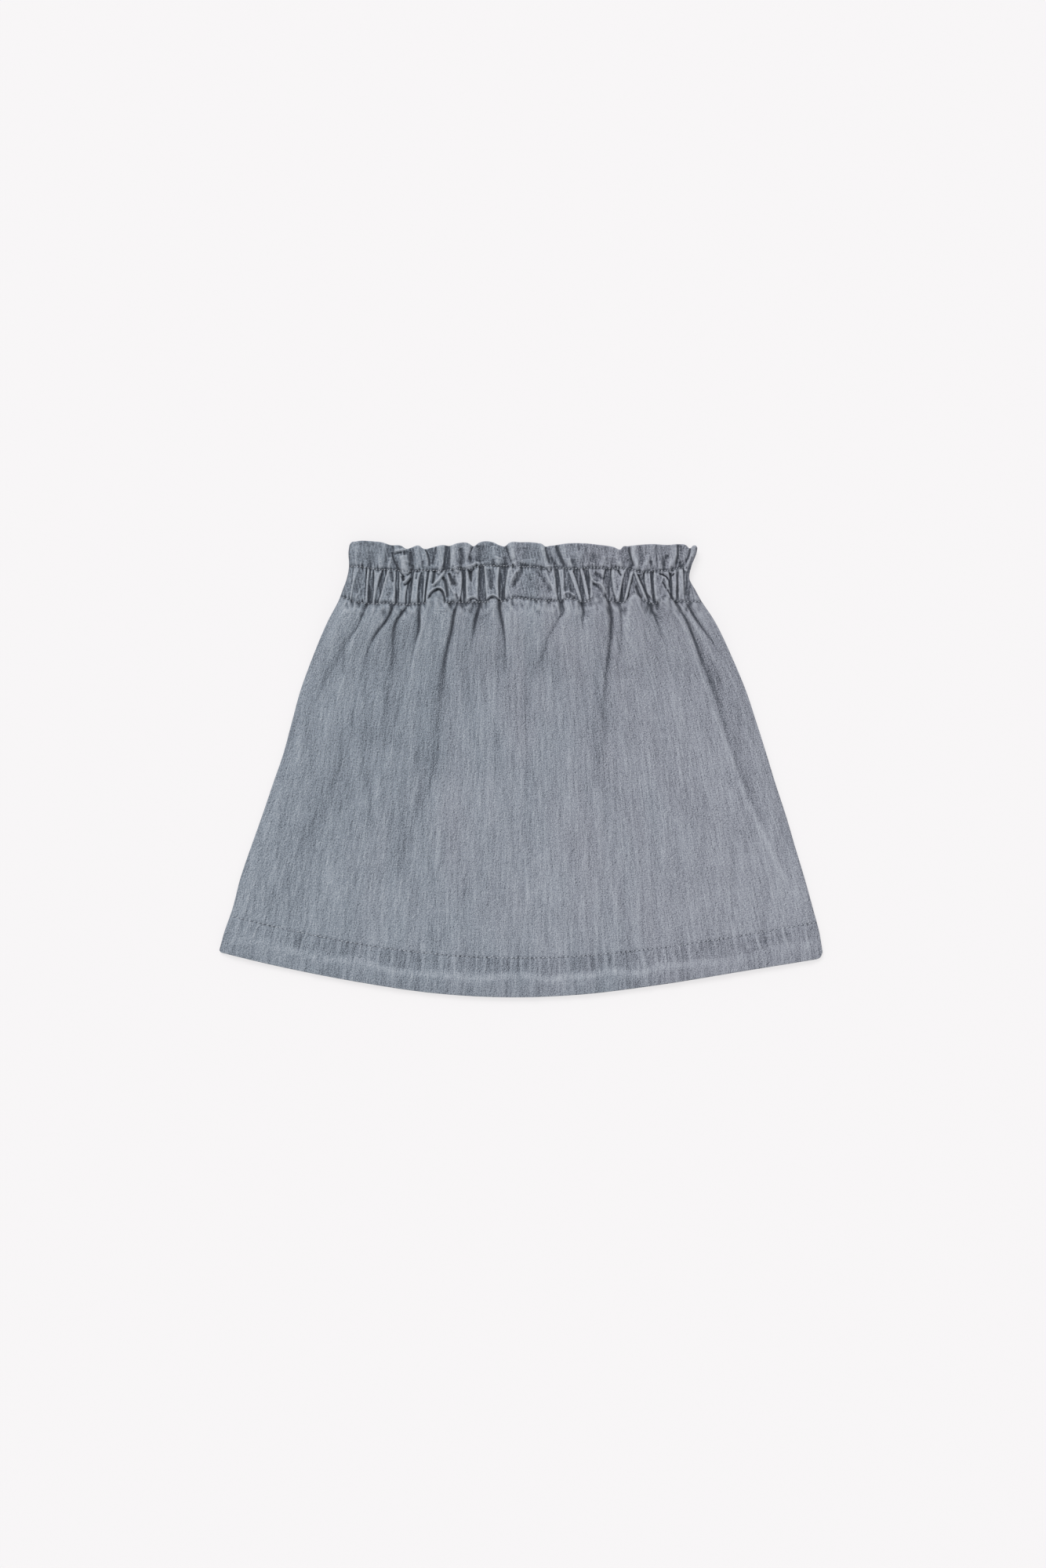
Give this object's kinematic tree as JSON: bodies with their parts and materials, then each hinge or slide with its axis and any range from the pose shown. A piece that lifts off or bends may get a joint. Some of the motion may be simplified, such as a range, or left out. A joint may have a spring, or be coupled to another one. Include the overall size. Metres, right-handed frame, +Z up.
{
  "type": "child's elasticated paper-bag skirt",
  "caption": "Short A-line skirt in grey chambray, laid flat: gathered elastic waist with a frill above its casing, turned-up stitched hem.",
  "frame": {"origin": "on the surface that the skirt lies on, under the middle of its box", "axes": "+X across the skirt to the right of the picture, +Y up the skirt from hem to waist, +Z up from the surface, out of the front panel"},
  "size_m": [0.3992, 0.3018, 0.0111],
  "materials": {
    "chambray_body": "washed grey chambray twill, matt, with pale slubs down its length",
    "chambray_casing": "the same chambray, doubled and closely gathered over elastic",
    "chambray_frill": "the same chambray, doubled, with a worn pale top fold",
    "chambray_hem": "the same chambray, turned up and puckered along its stitching"
  },
  "bodies": {
    "root": {"skirt_front": "chambray_body", "skirt_back": "chambray_body", "waist_casing_front": "chambray_casing", "waist_casing_back": "chambray_casing", "frill_front": "chambray_frill", "frill_back": "chambray_frill", "hem_front": "chambray_hem", "hem_back": "chambray_hem"}
  },
  "joints": []
}
